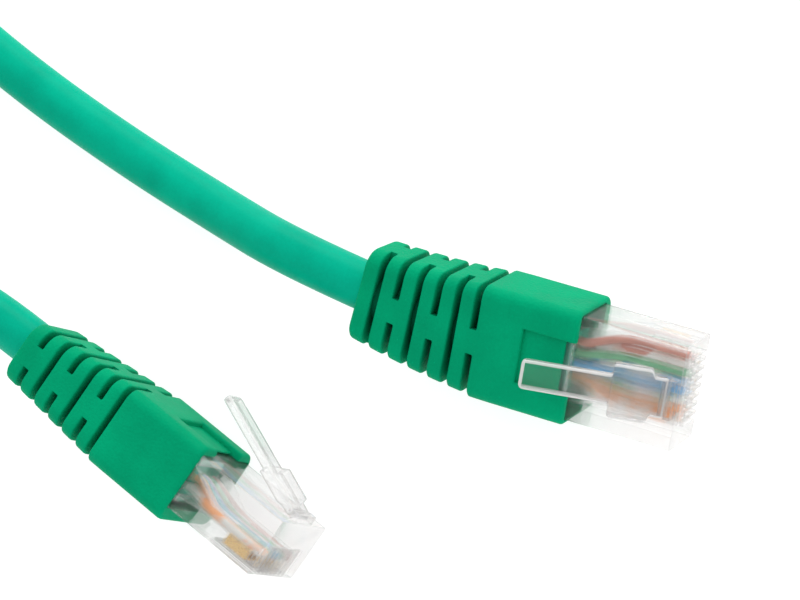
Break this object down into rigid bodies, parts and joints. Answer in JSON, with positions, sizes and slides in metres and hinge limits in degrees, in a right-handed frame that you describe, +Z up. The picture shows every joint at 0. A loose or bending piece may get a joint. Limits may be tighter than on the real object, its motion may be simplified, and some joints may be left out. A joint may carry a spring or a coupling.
{
  "type": "ethernet patch cable",
  "caption": "Round green network patch cable with a clear modular plug, sprung latch and slit flexible boot at each end, its spare length coiled and tied.",
  "frame": {"origin": "middle of the base of the box round both plugs and boots, on the surface that the part lies on", "axes": "+X is the way plug A goes into its socket, +Z up from the surface, +Y completes a right-handed set"},
  "size_m": [0.1847, 0.0766, 0.0164],
  "materials": {
    "clear_plastic": "clear moulded polycarbonate",
    "contact_gold": "gold plated",
    "cable_green": "satin soft vinyl jacket",
    "boot_green": "fine matte soft vinyl",
    "tie_black": "matte strap",
    "wire_white_orange": "insulation",
    "wire_orange": "insulation",
    "wire_white_green": "insulation",
    "wire_blue": "insulation",
    "wire_white_blue": "insulation",
    "wire_green": "insulation",
    "wire_white_brown": "insulation",
    "wire_brown": "insulation"
  },
  "bodies": {
    "cable": {"plug_shell_a": "clear_plastic", "contact_a1": "contact_gold", "wire_a1": "wire_white_orange", "contact_a2": "contact_gold", "wire_a2": "wire_orange", "contact_a3": "contact_gold", "wire_a3": "wire_white_green", "contact_a4": "contact_gold", "wire_a4": "wire_blue", "contact_a5": "contact_gold", "wire_a5": "wire_white_blue", "contact_a6": "contact_gold", "wire_a6": "wire_green", "contact_a7": "contact_gold", "wire_a7": "wire_white_brown", "contact_a8": "contact_gold", "wire_a8": "wire_brown", "jacket_end_a": "cable_green", "boot_a": "boot_green", "plug_shell_b": "clear_plastic", "contact_b1": "contact_gold", "wire_b1": "wire_white_orange", "contact_b2": "contact_gold", "wire_b2": "wire_orange", "contact_b3": "contact_gold", "wire_b3": "wire_white_green", "contact_b4": "contact_gold", "wire_b4": "wire_blue", "contact_b5": "contact_gold", "wire_b5": "wire_white_blue", "contact_b6": "contact_gold", "wire_b6": "wire_green", "contact_b7": "contact_gold", "wire_b7": "wire_white_brown", "contact_b8": "contact_gold", "wire_b8": "wire_brown", "jacket_end_b": "cable_green", "boot_b": "boot_green", "coil": "cable_green", "coil_tie": "tie_black", "cable_lead_a": "cable_green", "cable_lead_b": "cable_green"},
    "latch_a": {"latch_a": "clear_plastic"},
    "latch_b": {"latch_b": "clear_plastic"}
  },
  "joints": [
    {"name": "latch_a_press", "type": "hinge", "parent": "cable", "child": "latch_a", "pos_m": [0.0358, 0.01083, 0.01062], "axis": [0, -0.9063, -0.4226], "range_deg": [0, 16], "stiffness_Nm_per_rad": 0.1},
    {"name": "latch_b_press", "type": "hinge", "parent": "cable", "child": "latch_b", "pos_m": [-0.00035, -0.01201, 0.0072], "axis": [-0.0358, -0.0982, 0.9945], "range_deg": [0, 16], "stiffness_Nm_per_rad": 0.1}
  ]
}
